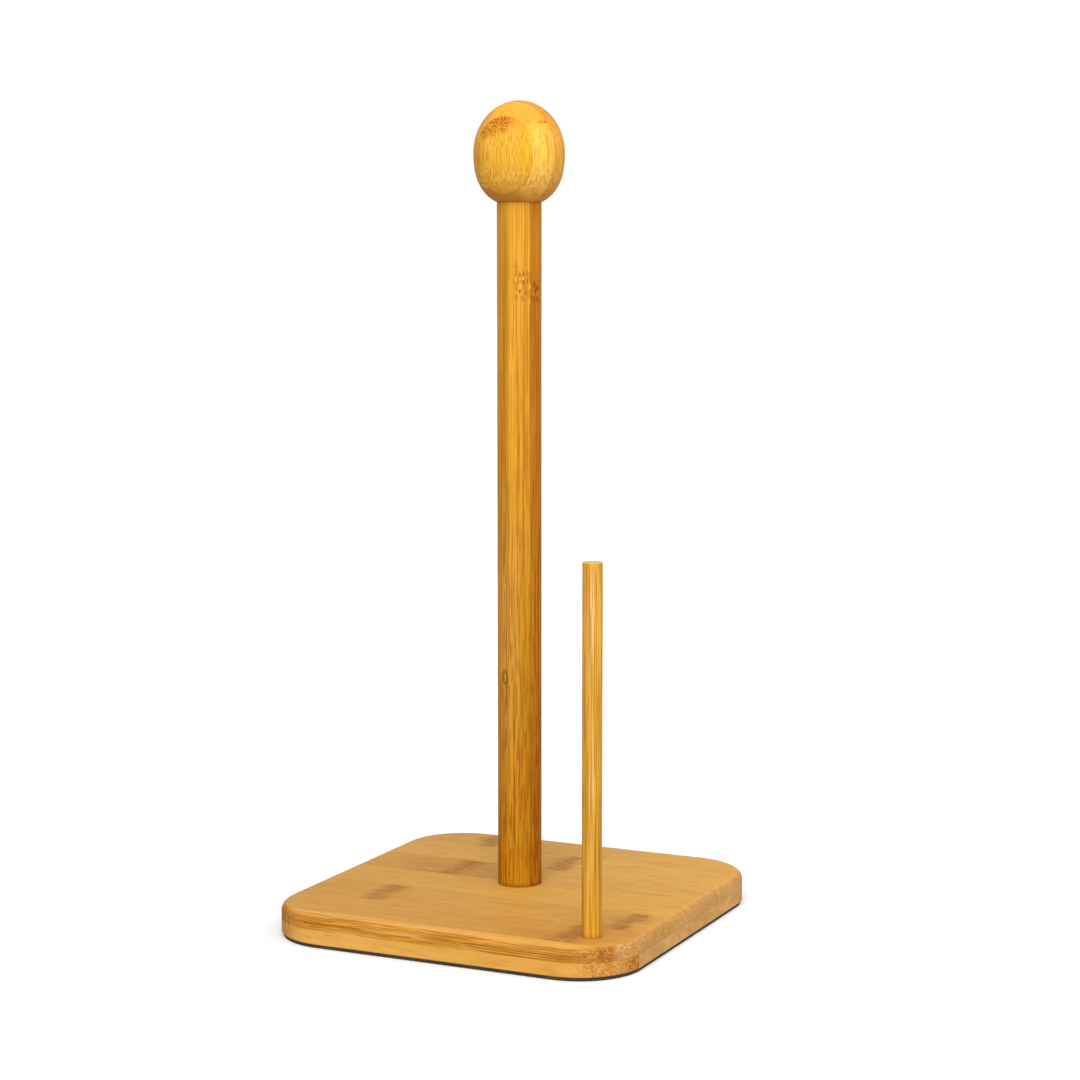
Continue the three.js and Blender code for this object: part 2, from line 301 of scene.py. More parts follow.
class Bamboo:
    """A material of bamboo, in coordinates along, across and through its grain, in millimetres.

    Long fibre bundles run along the grain, so they show as thin lines on a side and as dots on an end.
    The colour is built up in self.shade, and the relief in self.height.
    """

    def __init__(self, tree, along, across, through, seed, tones, waviness=1.0):
        self.tree = tree
        self.seed = seed
        self.tones = tones
        self.shade = tones.ground
        self.height = 0.0
        self.fibres = 0.0
        self.along = along
        drift = tree.noise(along / 55, across / 18, seed, detail=1) - 0.5
        sway = tree.noise(along / 40, through / 9, seed + 7.3, detail=1) - 0.5
        self.across = across + drift * (2.4 * waviness)
        self.through = through + sway * (1.6 * waviness)

    def stretched(self, length, width, shift=0.0, detail=2.0, roughness=0.5):
        """Noise with features of a length along the grain and a width across it."""
        place = (
            self.along / length + (self.seed + shift),
            self.across / width + (self.seed * 3 + shift),
            self.through / width + (shift - self.seed),
        )
        return self.tree.noise(*place, detail=detail, roughness=roughness)

    def bundles(self, length, spacing):
        """Fibre bundles: distance from the nearest one's middle, 0 to about 0.7, and its own value."""
        return self.tree.cells(
            self.along / length + self.seed,
            self.across / spacing + self.seed,
            self.through / spacing,
        )

    def tint(self, amount, shade):
        """Lays a shade over the colour so far, as strongly as amount says, from 0 to 1."""
        self.shade = self.tree.mix(amount, self.shade, shade)

    def grain(
        self, length=1.0, contrast=1.0, fine=1.0, streak_width=1.3, streak_detail=3, fibre_width=0.42
    ):
        """Broad bands, blotches, streaks, fibres and single bundles of fibres.

        length stretches all of them along the grain, contrast is how clear they all are, and fine how
        clear the fibres and bundles are beside the rest.
        """
        tones = self.tones
        broad = self.stretched(45 * length, 5, detail=2)
        blotches = self.stretched(16 * length, 6, 9.4, detail=2)
        streaks = self.stretched(22 * length, streak_width, 3.1, detail=streak_detail)
        fibres = self.stretched(12 * length, fibre_width, 5.7, detail=2, roughness=0.6)
        distance, own = self.bundles(7 * length, 0.95)
        core = distance.step(0.4, 0.12)
        fine = contrast * fine
        self.tint(broad.step(0.5, 0.7) * (contrast * 0.5), tones.pale)
        self.tint(broad.step(0.48, 0.3) * (contrast * 0.35), tones.brown)
        self.tint(blotches.step(0.52, 0.7) * (contrast * 0.35), tones.brown)
        self.tint(blotches.step(0.46, 0.3) * (contrast * 0.4), tones.pale)
        self.tint(streaks.step(0.5, 0.68) * (contrast * 0.5), tones.brown)
        self.tint(streaks.step(0.47, 0.32) * (contrast * 0.45), tones.pale)
        self.tint(fibres.step(0.51, 0.66) * (fine * 0.5), tones.brown)
        self.tint(fibres.step(0.47, 0.33) * (fine * 0.45), tones.pale)
        self.tint(core * own.step(0.72, 0.86) * (fine * 0.5), tones.dark)
        self.tint(core * own.step(0.25, 0.12) * (fine * 0.5), tones.pale)
        self.height = fibres * 0.5 + streaks * 0.35 - core * 0.15
        self.fibres = fibres

    def lines(self, length, width, strength):
        """Crisp dark and pale lines along the grain."""
        pattern = self.stretched(length, width, 23.0, detail=1)
        dark = pattern.step(0.55, 0.61)
        self.tint(dark * strength, self.tones.scaled(0.6, 0.45, 0.2))
        self.tint(pattern.step(0.45, 0.39) * (strength * 0.6), self.tones.scaled(1.2, 1.26, 2.1))
        self.height = self.height - dark * 0.3

    def speckle(self, end, dark=0.12, cream=0.3, ground=0.85, burnt=0.0, spacing=0.8):
        """Dots where the grain is cut across. end is how much of it is cut so, from 0 to 1.

        dark and cream are the strengths of the two kinds of dot, ground how far the wood between them
        pales, burnt how far it browns, and spacing how far apart the dots are.
        """
        tones, tree = self.tones, self.tree
        dots, kind = tree.cells(self.along / 2.6, self.across / spacing, self.through / spacing)
        mottle = tree.noise(self.along / 9, self.across / 6, self.through / 4, detail=2)
        dull, bright = tones.scaled(0.92, 0.97, 1.75), tones.scaled(1.08, 1.18, 2.5)
        self.tint(end * ground, tree.mix(mottle.step(0.38, 0.62), dull, bright))
        self.tint(end * burnt, tones.scaled(0.74, 0.56, 0.36))
        core = end * dots.step(0.72, 0.36)
        self.tint(core * kind.step(0.4, 0.54) * dark, tones.scaled(0.47, 0.29, 0.15))
        self.tint(core * kind.step(0.42, 0.28) * cream, tones.scaled(1.22, 1.32, 2.4))

    def knuckle(
        self, place, extent, soft, cream, dash, gap, dark=0.85, rags=1.4, lean=1.6, ink=None
    ):
        """A node of the cane: an uneven patch where the fibres knot, with dark and cream dashes.

        place is the distance from the patch's middle and extent its half width. soft, dark and cream are
        the strengths of its browning and its dashes, dash their length, gap their spacing, lean how far
        they slant and ink the dark ones' colour. rags is how ragged the patch's outline is.
        """
        tree, tones = self.tree, self.tones
        ink = ink or tones.scaled(0.42, 0.27, 0.14)
        ragged = self.stretched(2.6, 1.1, 11.0, detail=3) - 0.5
        wide = self.stretched(7, 4, 12.0, detail=1) - 0.5
        outline = place + (ragged + wide) * (extent * rags)
        mask = outline.step(extent * 1.25, extent * 0.35)
        slant = tree.noise(self.along / 4, self.across / 2, self.through / 2, detail=1) * lean
        dots, own = tree.cells(self.along / dash, self.across / gap + slant, self.through / gap)
        core = dots.step(0.65, 0.25)
        self.tint(mask * soft, tones.brown)
        self.tint(mask * core * own.step(0.38, 0.52) * dark, ink)
        self.tint(mask * core * own.step(0.36, 0.22) * cream, tones.scaled(1.25, 1.36, 2.4))
        self.height = self.height + mask * core * 0.4

    def shaded(self, amount, red, green, blue):
        """Multiplies the colour so far by a tint."""
        inputs = {0: amount, 6: self.shade, 7: (red, green, blue, 1)}
        self.shade = self.tree.put("Mix", inputs, data_type="RGBA", blend_type="MULTIPLY")[2]

    def finish(self, roughness):
        """Gives the built-up colour and relief to the material, and returns it."""
        self.tree.paint(self.shade)
        self.tree.rough(self.fibres * 0.2 + roughness)
        self.tree.relief(self.height, distance=0.07)
        return self.tree.material


# ---------------------------------------------------------------- materials: the base's strips

GOLDEN_SIDE = Tones(204, 140, 34)

# Long dark fibres on the base's golden front, as (depth below the top, breadth).
FRONT_FIBRES = (
    (3.4, 0.26), (4.3, 0.2), (1.9, 0.14), (5.3, 0.22), (2.6, 0.12), (1.3, 0.13), (0.8, 0.1),
)

# Grain cut across: the cane's dense outer wall, and the wood of the upper strips from the third on.
WALL_END = {"dark": 1.0, "cream": 0.3, "ground": 0.0, "burnt": 1.0, "spacing": 0.6}
OLIVE_END = {"dark": 0.2, "cream": 0.35, "ground": 0.4, "burnt": 0.12}


def golden_side(wood):
    """The cane's golden outer side, which faces the front from just below the top face."""
    top = BASE_TOP / MM
    height = wood.tree.z
    # The golden colour reaches up over the rounded edge. There it is partly the cane's own golden side
    # and partly painted shade, which keeps the edge from shining brighter.
    wood.tint(height.step(top, top - 1.2) * 0.95, GOLDEN_SIDE.ground)
    wood.tint(height.step(top - 3.2, LAYER_SEAM / MM + 0.3) * 0.4, colour(186, 120, 20))


def front_fibres(wood):
    """Long dark fibres that sink slowly to the right, with a browner patch near the right corner."""
    tree = wood.tree
    for line, (depth, breadth) in enumerate(FRONT_FIBRES):
        wander = tree.noise(tree.x / 26, wood.seed, line * 5.0, detail=2) - 0.5
        place = tree.z + tree.x * 0.008 + wander * 1.6 - (BASE_TOP / MM - depth)
        there = tree.noise(tree.x / 18, line * 3.0, wood.seed, detail=1).step(0.38, 0.5)
        wood.tint(place.band(0, breadth * 0.3, breadth) * there * 0.8, colour(132, 72, 10))
    ragged = wood.stretched(6, 1.2, 47.0, detail=3)
    beside_corner = (tree.x + ragged * 12).step(52, 64)
    low_down = (tree.z + ragged * 2).band(LAYER_SEAM / MM + 2.6, 1.6, 1.2)
    wood.tint(beside_corner * low_down * 0.6, colour(170, 104, 20))


def crossing_node(wood, centre, number):
    """A node of the cane across a strip: a soft brown band with fine streaks along the grain."""
    tree, tones = wood.tree, wood.tones
    seed = wood.seed + number
    bend = tree.noise(tree.y / 16, seed, 0.0, detail=0) - 0.5
    reach = tree.noise(tree.y / 7, seed, 5.0, detail=0).step(0.25, 0.75) * 3 + 3.6
    place = (tree.x - centre + bend * 8).math("ABSOLUTE") * 4.2 / reach
    smudges = wood.stretched(5, 0.9, 41.0 + number, detail=3).step(0.36, 0.6)
    wood.tint(place.step(7.5, 0.0) * smudges * 0.95, tones.scaled(0.6, 0.46, 0.26))
    wood.knuckle(
        place, extent=3.4, soft=0.35, dark=0.6, cream=0.2, dash=3.5, gap=0.65, rags=1.0, lean=0.0
    )


def board_material(
    name, seed, left, right, knuckles=(), end=None, skin=None, contrast=0.8, front=False, dusk=0.0
):
    """A flat strip of the base, its grain along X.

    left and right are its tones at its two ends, knuckles the places along X of the cane's nodes, and
    end the look of the grain cut across. skin is where along Y the cane's dense outer wall starts and
    where it is in full. front is for the strip whose golden outer side faces the front, and dusk darkens
    a stretch left of the middle.
    """
    tree = Tree(name, specular=0.14)
    tones = left
    wood = Bamboo(tree, tree.x, tree.y, tree.z, seed, tones)
    wood.shade = tree.mix(tree.x.step(-70, 70), left.ground, right.ground)
    if dusk:
        wood.tint(tree.x.step(4, -30) * tree.x.step(-70, -42) * dusk, tones.brown)
    if front:
        golden_side(wood)
    normal = tree.put("SeparateXYZ", {0: tree.put("NewGeometry", {})[1]})
    level = normal[2].step(0.7, 0.95)
    wood.grain(
        contrast=(1 - level * 0.62) * contrast,
        fine=1 - level * 0.5,
        streak_width=2.8,
        streak_detail=1.5,
    )
    pale_flecks = wood.stretched(8, 2.8, 31.0, detail=3).step(0.57, 0.68)
    dark_flecks = wood.stretched(10, 2.2, 37.0, detail=3).step(0.56, 0.68)
    wood.tint(pale_flecks * level * 0.35, tones.scaled(1.12, 1.15, 1.45))
    wood.tint(dark_flecks * level * 0.4, tones.scaled(0.78, 0.68, 0.46))
    if front:
        front_fibres(wood)
    cut = normal[0].math("ABSOLUTE").step(0.25, 0.65)
    wall = tree.y.step(*skin) if skin else 0.0
    wood.speckle(cut * (1.0 - wall), **(end or {}))
    if skin:
        wood.speckle(cut * wall, **WALL_END)
    seam = (tree.z - LAYER_SEAM / MM).band(0, 0.08, 0.2)
    wood.tint(seam * cut * 0.3, tones.dark)
    for number, centre in enumerate(knuckles):
        crossing_node(wood, centre, number)
    # Painted shade: the rounded edge is darkened, as it would otherwise shine brighter than the wood
    # beside it.
    wood.shaded(normal[2].band(0.55, 0.15, 0.3), 0.94, 0.91, 0.86)
    return wood.finish(roughness=0.48)


# ---------------------------------------------------------------- materials: the turned pieces

def turned_frame(tree, axis, turn=0.0):
    """Coordinates from a vertical axis: across, along a direction turned from +X, and forward of it."""
    x = tree.x - axis.x / MM
    y = tree.y - axis.y / MM
    across = x * math.cos(turn) + y * math.sin(turn)
    forward = x * math.sin(turn) - y * math.cos(turn)
    return across, forward


class Stave(Bamboo):
    """The wood of a stave of the post, its grain upright. It grows darker and browner to the foot:
    partly the cane's own colour, and partly painted shade of the light that falls from above and of the
    base beside the foot.

    side is the distance across the post, square to the glue joints, and forward the distance in front of
    its axis. foot grows from about 0 to about 1 down the post. marks are cane nodes as (side, height
    above the base, half width, extent, front). joints are the places across where the stave is glued to
    its neighbours.
    """

    def __init__(self, name, seed, tones, marks, joints):
        tree = Tree(name, specular=0.12)
        self.side, self.forward = turned_frame(tree, POST_AXIS, POST_GRAIN_TURN)
        super().__init__(tree, tree.z, self.side, self.forward, seed, tones, waviness=0.25)
        self.foot = tree.z.step(345, -45)
        self.grain(length=3.2, contrast=1.3, streak_width=1.1, fibre_width=0.36)
        faded = tree.z.band(105, 25, 55) * self.side.step(2, -3)
        self.tint(faded * 0.5, colour(240, 182, 112))
        self.lines(55, 0.5, self.foot * 0.5 + 0.5)
        self.lines(11, 0.8, self.foot * 0.8)
        for mark in marks:
            self.cane_node(*mark)
        for joint in joints:
            self.tint((self.side - joint / MM).band(0, 0.06, 0.14) * 0.2, tones.dark)
        # A ragged dark ring where the post meets the base: its chipped edge, and painted shade in the
        # crease.
        chipped_and_shaded_rim = self.stretched(3, 0.8, 17.0) * 3
        self.tint((tree.z - BASE_TOP / MM - chipped_and_shaded_rim).step(0.3, -0.6) * 0.45, tones.dark)

    def cane_node(self, middle, rise, half_width, extent, front):
        """A node of the cane, on the front or the back of the post."""
        facing = self.forward.step(-1, 2) if front else self.forward.step(1, -2)
        inside = self.side.band(middle, half_width - 1, 1.5) * facing
        lean = (self.side - middle) * 0.35
        distance = (self.tree.z + lean - (BASE_TOP / MM + rise)).math("ABSOLUTE")
        place = distance + (1 - inside) * (3 * extent)
        self.knuckle(place, extent, soft=0.4, cream=1.0, dash=3.2, gap=0.8, rags=0.9)

    def bud_scar(self, middle, rise, half_width, half_height):
        """An uneven oval ring, where a bud grew."""
        wobble = self.stretched(1.6, 1.0, rise, detail=2) - 0.5
        across = (self.side - middle) / half_width
        up = (self.tree.z - BASE_TOP / MM - rise) / half_height
        ring = (across * across + up * up).math("SQRT") + wobble * 0.9
        self.tint(ring.band(1.0, 0.12, 0.4) * self.forward.step(0, 2) * 0.6, self.tones.dark)


def layer_material(name, seed, tones, marks=(), gold=None, dusk=0.0, edge=0.0, joints=()):
    """A layer of the knob, its grain upright.

    marks are cane nodes as (x, forward, rise, half sizes in the same order), where rises are from the
    knob's widest place. gold is where a golden band starts along X, dusk how dark the lower left is and
    edge how brown the left. joints are the planes along Y where it is glued to its neighbours.
    """
    tree = Tree(name, specular=0.16)
    x, forward = turned_frame(tree, POST_AXIS)
    rise = tree.z - KNOB_WIDEST / MM
    wood = Bamboo(tree, tree.z, x, forward, seed, tones, waviness=0.15)
    if gold is not None:
        wood.tint(x.step(gold - 0.8, gold + 0.6) * rise.band(3, 10, 4) * 0.75, colour(241, 174, 8))
    wood.grain(length=1.2, contrast=0.8, fine=0.9, streak_width=0.9, fibre_width=0.38)
    wood.lines(15, 0.48, rise.band(1.5, 3.5, 5) * 0.55)
    if edge:
        wood.tint(x.step(-5, -12) * edge, colour(196, 128, 30))
    for joint in joints:
        # The glue lines show below and at the crown, and fade in between.
        shown = rise.step(2, -8) * 0.45 + rise.step(6, 9) * 0.3
        wood.tint((forward + joint).band(0, 0.07, 0.16) * shown, tones.dark)
    if dusk:
        wood.tint(x.step(9, 4) * rise.step(-4, -10) * dusk, tones.brown)
    normal = tree.put("NewGeometry", {})[1]
    upright = tree.put("SeparateXYZ", {0: normal})[2]
    wood.speckle(upright.band(-0.35, 0.1, 0.2), dark=0.3, cream=0.5, ground=0.15)
    for centre_x, centre_forward, centre_rise, half_x, half_forward, half_rise in marks:
        side = (x - centre_x) / half_x
        depth = (forward - centre_forward) / half_forward
        up = (rise - centre_rise - (x - centre_x) * 0.15) / half_rise
        place = (side * side + depth * depth + up * up).math("SQRT") * half_rise
        wood.tint(place.step(half_rise * 1.1, half_rise * 0.6) * 0.7, colour(208, 126, 16))
        wood.knuckle(
            place, half_rise, soft=1.0, dark=0.95, cream=0.5, dash=1.3, gap=0.62, ink=colour(136, 64, 6)
        )
    wood.shaded(rise.step(-3, -17), 1.0, 0.9, 1.1)
    # Painted shade: the knob's top is darkened and browned where the light from above falls most
    # strongly.
    wood.shaded(rise.step(6, 14), 0.97, 0.78, 0.6)
    return wood.finish(roughness=0.42)


def rod_material():
    """A round stick split from one cane, with long dark fibres and a pale sawn end."""
    tree = Tree("bamboo_rod", specular=0.14)
    across, forward = turned_frame(tree, ROD_AXIS, POST_GRAIN_TURN)
    tones = Tones(216, 158, 46)
    wood = Bamboo(tree, tree.z, across, forward, 67.0, tones, waviness=0.3)
    wood.grain(length=2.5, contrast=1.0, streak_width=1.4, fibre_width=0.35)
    # Painted highlight: a pale upright stripe a little left of the rod's middle, broken along its
    # length.
    pale = tree.noise(tree.z / 40, across / 3, forward / 3, detail=1).step(0.3, 0.55)
    painted_highlight_stripe = across.band(-0.6, 0.9, 0.8) * pale * tree.z.step(15, 70)
    wood.tint(painted_highlight_stripe * 0.65, colour(250, 206, 138))
    wood.lines(60, 0.45, 0.95)
    wood.lines(38, 0.75, 0.6)
    sawn_end = tree.z.step(rod_high.z / MM - 0.3, rod_high.z / MM - 0.1)
    wood.tint(sawn_end * 0.75, colour(226, 186, 122))
    # Painted shade: the rod darkens just above the base, where it stands in its socket.
    foot = tree.z.step(BASE_TOP / MM + 2, BASE_TOP / MM)
    wood.tint(foot * 0.4, tones.dark)
    return wood.finish(roughness=0.5)


# ---------------------------------------------------------------- materials: foam, metal and dowel wood

def foam_material():
    """Dark grey foam, pored and a little worn."""
    tree = Tree("dark_foam", specular=0.2)
    grit = tree.noise(tree.x / 0.5, tree.y / 0.5, tree.z / 0.5, detail=4, roughness=0.7)
    wear = tree.noise(tree.x / 14, tree.y / 14, tree.z / 14, detail=3)
    bubbles, _ = tree.cells(tree.x / 0.7, tree.y / 0.7, tree.z / 0.7)
    shade = tree.mix(grit.step(0.3, 0.7), colour(46, 42, 40), colour(76, 68, 62))
    shade = tree.mix(wear.step(0.5, 0.7) * 0.25, shade, colour(104, 98, 92))
    tree.paint(shade)
    tree.rough(wear * 0.2 + 0.78)
    tree.relief(grit + bubbles, distance=0.1)
    return tree.material


def zinc_material(name, mark_height):
    """Bright zinc plating, slightly blue, with stains and with fine turning marks of a height."""
    tree = Tree(name, metallic=1.0)
    marks = tree.noise(tree.x / 0.25, tree.y / 0.25, tree.z / mark_height, detail=3, roughness=0.7)
    stains = tree.noise(tree.x / 3.5, tree.y / 3.5, tree.z / 3.5, detail=4)
    shade = tree.mix(stains.step(0.35, 0.7), colour(206, 210, 216), colour(168, 168, 160))
    shade = tree.mix(marks.step(0.55, 0.75) * 0.35, shade, colour(122, 124, 128))
    tree.paint(shade)
    tree.rough(stains * 0.25 + marks * 0.12 + 0.14)
    tree.relief(marks, distance=0.02)
    return tree.material


def dowel_material():
    """Raw pale wood, its grain upright."""
    tree = Tree("dowel_wood", specular=0.2)
    across, forward = turned_frame(tree, POST_AXIS)
    wood = Bamboo(tree, tree.z, across, forward, 88.0, Tones(206, 172, 118), waviness=1.2)
    wood.grain(length=0.9, contrast=0.6)
    return wood.finish(roughness=0.6)


# ---------------------------------------------------------------- meshes

def mesh_of(shape):
    """A mesh from points and faces."""
    points, faces = shape
    mesh = bpy.data.meshes.new("part")
    mesh.from_pydata(points, [], faces)
    return mesh


def stacked(rings):
    """Points and faces of a closed solid through rings of equal point count, lowest first."""
    count = len(rings[0])
    points = [point for ring in rings for point in ring]
    faces = [tuple(reversed(range(count)))]
    for lower in range(0, len(points) - count, count):
        for i in range(count):
            after = (i + 1) % count
            faces.append((lower + i, lower + after, lower + count + after, lower + count + i))
    faces.append(tuple(range(len(points) - count, len(points))))
    return points, faces


def turned(profile, centre, steps=TURNED_STEPS, shape=None):
    """Points and faces of a solid of revolution about a vertical axis, from (radius, height) pairs.

    Both ends of the profile are closed with a flat face. shape may change each point's radius.
    """
    rings = []
    for radius, height in profile:
        ring = []
        for step in range(steps):
            angle = 2 * math.pi * step / steps
            reach = shape(radius, height, angle) if shape else radius
            x = centre.x + reach * math.cos(angle)
            y = centre.y + reach * math.sin(angle)
            ring.append((x, y, height))
        rings.append(ring)
    return stacked(rings)


def arc(centre_r, centre_z, radius, start, end, steps):
    """(radius, height) pairs along part of a circle, with angles in degrees."""
    pairs = []
    for step in range(steps + 1):
        angle = math.radians(start + (end - start) * step / steps)
        pairs.append((centre_r + radius * math.cos(angle), centre_z + radius * math.sin(angle)))
    return pairs


def eased_side(radius, low, high, edge, steps):
    """(radius, height) pairs up a cylinder's side whose lower and upper edges are rounded."""
    return [
        *arc(radius - edge, low + edge, edge, -90, 0, steps),
        *arc(radius - edge, high - edge, edge, 0, 90, steps),
    ]


def base_outline(setback, height):
    """The base's rounded square at a height, set back all round."""
    radius = CORNER_RADIUS - setback
    middle = BASE_HALF - CORNER_RADIUS
    outline = []
    for corner, (side_x, side_y) in enumerate(((1, 1), (-1, 1), (-1, -1), (1, -1))):
        for step in range(CORNER_STEPS + 1):
            angle = (corner + step / CORNER_STEPS) * math.pi / 2
            x = side_x * middle + radius * math.cos(angle)
            y = side_y * middle + radius * math.sin(angle)
            outline.append((x, y, height))
    return outline


def carved(mesh, cutters):
    """The mesh with vertical cylinders, (x, y, radius, bottom, top), cut out of it.

    A sixth value is the number of sides, for a prism.
    """
    body = bpy.data.objects.new("body", mesh)
    bpy.context.scene.collection.objects.link(body)
    tools = []
    for x, y, radius, bottom, top, *sides in cutters:
        steps = sides[0] if sides else CUTTER_STEPS
        cylinder = turned([(radius, bottom), (radius, top)], Vector((x, y, 0)), steps)
        tool = bpy.data.objects.new("cutter", mesh_of(cylinder))
        bpy.context.scene.collection.objects.link(tool)
        cut = body.modifiers.new("cut", "BOOLEAN")
        cut.operation = "DIFFERENCE"
        cut.solver = "EXACT"
        cut.object = tool
        tools.append(tool)
    bpy.context.view_layer.update()
    graph = bpy.context.evaluated_depsgraph_get()
    result = bpy.data.meshes.new_from_object(body.evaluated_get(graph), depsgraph=graph)
    for used in [body, *tools]:
        bpy.data.objects.remove(used)
    return result


def between(shape, across, near, far):
    """The part of a solid between two planes square to a direction, as a mesh.

    None in place of a plane leaves that end whole.
    """
    mesh = mesh_of(shape)
    work = bmesh.new()
    work.from_mesh(mesh)
    for place, outward in ((near, -across), (far, across)):
        if place is not None:
            cut = bmesh.ops.bisect_plane(
                work,
                geom=work.verts[:] + work.edges[:] + work.faces[:],
                dist=CUT_TOLERANCE,
                plane_co=across * place,
                plane_no=outward,
                clear_outer=True,
            )
            edges = [part for part in cut["geom_cut"] if isinstance(part, bmesh.types.BMEdge)]
            bmesh.ops.holes_fill(work, edges=edges)
    work.to_mesh(mesh)
    work.free()
    return mesh


def put(name, mesh, material):
    """Puts a finer mesh in the place of a CAD node."""
    mesh.shade_smooth()
    mesh.set_sharp_from_angle(angle=SHARP_TURN)
    mesh.materials.clear()
    mesh.materials.append(material)
    piece = bpy.data.objects.new(name + "_fine", mesh)
    bpy.context.scene.collection.objects.link(piece)
    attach(piece, "root")
    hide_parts(name)


def reaches(cutter, name):
    """Whether a cutter touches a node, going by their places along Y."""
    _, y, radius, *_ = cutter
    low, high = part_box(name)
    return low.y - radius < y < high.y + radius


def glued_up(names, shape, across, joints, materials, cutters=()):
    """Cuts a solid at its glue joints and puts the parts in the place of their CAD nodes."""
    ends = [None, *joints, None]
    for i, name in enumerate(names):
        mesh = between(shape, across, ends[i], ends[i + 1])
        near = [cutter for cutter in cutters if reaches(cutter, name)]
        if near:
            mesh = carved(mesh, near)
        put(name, mesh, materials[i])


def joints_between(names):
    """The Y planes at which neighbouring nodes meet."""
    return [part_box(name)[1].y for name in names[:-1]]


# ---------------------------------------------------------------- the base

bolt_hole = (POST_AXIS.x, POST_AXIS.y, BOLT_HOLE_RADIUS, 0, BASE_TOP + HOLE_OVERSHOOT)
bolt_recess = (POST_AXIS.x, POST_AXIS.y, RECESS_RADIUS, 0, LAYER_SEAM + HOLE_OVERSHOOT)
socket_radius = ROD_RADIUS + SOCKET_GAP
socket_floor = rod_low.z - SOCKET_SPARE_DEPTH
rod_socket = (ROD_AXIS.x, ROD_AXIS.y, socket_radius, socket_floor, BASE_TOP + HOLE_OVERSHOOT)

upper_rings = [base_outline(0, LAYER_SEAM)]
rounding = arc(-EDGE_ROUNDING, BASE_TOP - EDGE_ROUNDING, EDGE_ROUNDING, 0, 90, ROUNDING_STEPS)
for outward, height in rounding:
    upper_rings.append(base_outline(-outward, height))
lower_rings = [
    base_outline(LOWER_EDGE, lower_low.z),
    base_outline(0, lower_low.z + LOWER_EDGE),
    base_outline(0, LAYER_SEAM),
]

# The strips from front to back, as arguments for board_material.
top_looks = (
    {
        "left": Tones(216, 161, 78), "right": Tones(222, 162, 74), "front": True,
        "end": {"dark": 0.9, "cream": 0.35, "ground": 0.0, "burnt": 0.85, "spacing": 0.55},
    },
    {
        "left": Tones(202, 148, 68), "right": Tones(202, 142, 58), "knuckles": (52,),
        "end": {"dark": 0.3, "cream": 0.95, "ground": 0.6, "burnt": 0.1}, "skin": (-64, -69),
    },
    {
        "left": Tones(200, 147, 66), "right": Tones(208, 153, 68), "knuckles": (-43.5, 65.5),
        "end": OLIVE_END,
    },
    {"left": Tones(206, 153, 70), "right": Tones(217, 163, 70), "end": OLIVE_END},
    {
        "left": Tones(198, 146, 68), "right": Tones(216, 163, 73), "knuckles": (-34,),
        "end": OLIVE_END, "dusk": 0.5,
    },
    {"left": Tones(203, 152, 74), "right": Tones(217, 165, 76), "knuckles": (3.5,), "end": OLIVE_END},
    {"left": Tones(202, 150, 74), "right": Tones(214, 161, 76), "knuckles": (-43,), "end": OLIVE_END},
)
bottom_looks = (
    {
        "left": Tones(222, 166, 78), "right": Tones(222, 161, 68),
        "end": {"dark": 0.6, "cream": 0.35, "ground": 0.1, "burnt": 0.6, "spacing": 0.6},
        "skin": (-66, -59), "contrast": 0.5,
    },
    {"left": Tones(206, 151, 66), "right": Tones(204, 153, 74)},
    {"left": Tones(212, 158, 70), "right": Tones(208, 154, 68), "knuckles": (12,)},
    {"left": Tones(202, 147, 60), "right": Tones(206, 151, 66)},
    {"left": Tones(212, 157, 66), "right": Tones(208, 153, 64)},
    {"left": Tones(204, 149, 62), "right": Tones(210, 155, 68), "knuckles": (-50,)},
    {"left": Tones(210, 155, 64), "right": Tones(206, 149, 60)},
)


def glued_layer(names, rings, looks, slot, first_seed, cutters):
    """A layer of the base, glued from strips that each have a grain of their own."""
    materials = [
        board_material(f"{slot}_{i + 1}", STRIP_SEED_STEP * i + first_seed, **look)
        for i, look in enumerate(looks)
    ]
    glued_up(names, stacked(rings), ACROSS_Y, joints_between(names), materials, cutters)


glued_layer(
    TOP_STRIP_NAMES, upper_rings, top_looks, "bamboo_top", UPPER_FIRST_SEED, [bolt_hole, rod_socket]
)
glued_layer(
    BOTTOM_STRIP_NAMES, lower_rings, bottom_looks, "bamboo_bottom", LOWER_FIRST_SEED,
    [bolt_recess, rod_socket],
)

# ---------------------------------------------------------------- the pad

pad_inset = BASE_HALF - pad_high.x
pad_shape = stacked([
    base_outline(pad_inset + PAD_EDGE, pad_low.z),
    base_outline(pad_inset, pad_low.z + PAD_EDGE),
    base_outline(pad_inset, pad_high.z - PAD_EDGE),
    base_outline(pad_inset + PAD_EDGE, pad_high.z),
])
pad_hole = (POST_AXIS.x, POST_AXIS.y, PAD_HOLE_RADIUS, -HOLE_OVERSHOOT, pad_high.z + HOLE_OVERSHOOT)
put("anti_slip_pad", carved(mesh_of(pad_shape), [pad_hole]), foam_material())

# ---------------------------------------------------------------- post, knob and rod

dowel_floor = dowel_low.z - DOWEL_BORE_SPARE_DEPTH
post_shape = turned([
    (INSERT_BORE_RADIUS, post_low.z + INSERT_BORE_DEPTH),
    (INSERT_BORE_RADIUS, post_low.z),
    *eased_side(POST_RADIUS, post_low.z, post_high.z, POST_EDGE, POST_EDGE_STEPS),
    (DOWEL_BORE_RADIUS, post_high.z),
    (DOWEL_BORE_RADIUS, dowel_floor),
], POST_AXIS)
across_post = Vector((math.cos(POST_GRAIN_TURN), math.sin(POST_GRAIN_TURN), 0))
axis_across = POST_AXIS.dot(across_post)
post_joints = [axis_across + joint for joint in POST_JOINTS]

